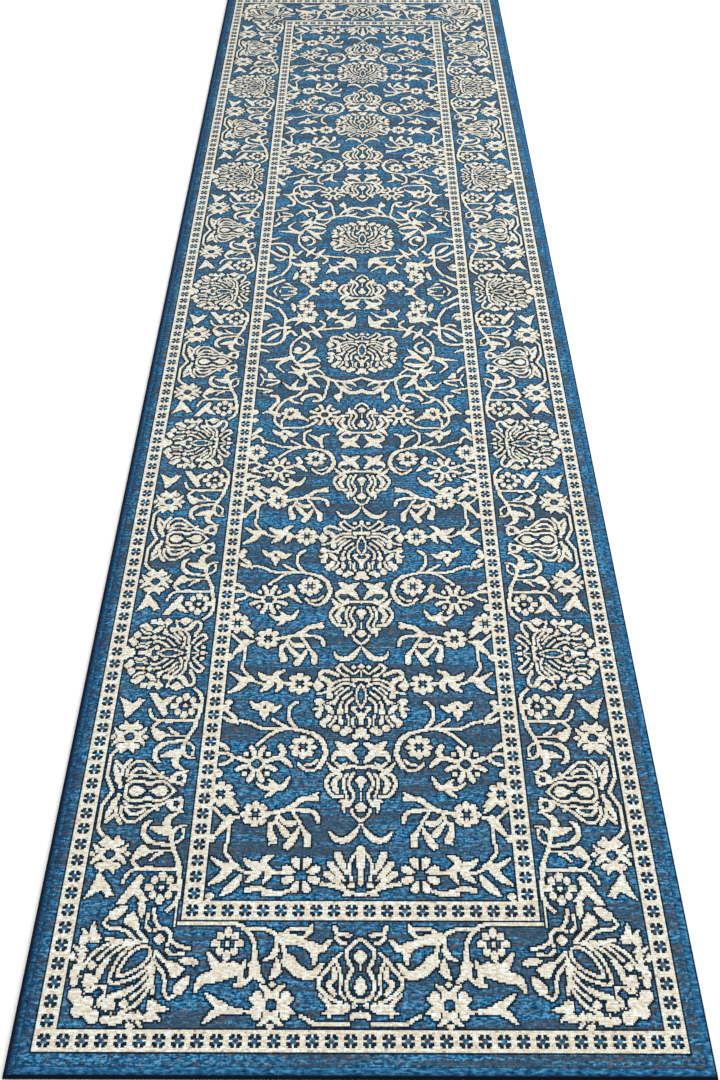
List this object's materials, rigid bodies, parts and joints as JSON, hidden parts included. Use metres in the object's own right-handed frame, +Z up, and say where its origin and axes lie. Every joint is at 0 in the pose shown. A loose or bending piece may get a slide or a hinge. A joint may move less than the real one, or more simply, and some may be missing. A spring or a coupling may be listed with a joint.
{
  "type": "runner rug",
  "caption": "Long narrow woven pile rug that lies flat on a floor, with an overcast cord-filled binding along all four edges.",
  "frame": {"origin": "middle of the rug's underside, on the floor", "axes": "+X across the rug, +Y along its length, +Z up through the pile"},
  "size_m": [0.8, 3, 0.011],
  "materials": {
    "pile_yarn": "cut pile, matt, blue ground with cream figures and navy outlines",
    "ground_weave": "plain woven foundation, matt",
    "latex_coat": "rolled latex film, dull",
    "backing_cloth": "coarse open jute weave, matt",
    "binding_yarn": "overcast yarn laid side by side, matt",
    "edge_cord": "twisted fibre cord, matt"
  },
  "bodies": {
    "root": {"pile_face": "pile_yarn", "ground_weave": "ground_weave", "latex_coat": "latex_coat", "backing_cloth": "backing_cloth", "left_binding": "binding_yarn", "right_binding": "binding_yarn", "near_binding": "binding_yarn", "far_binding": "binding_yarn", "left_edge_cord": "edge_cord", "right_edge_cord": "edge_cord", "near_edge_cord": "edge_cord", "far_edge_cord": "edge_cord"}
  },
  "joints": []
}
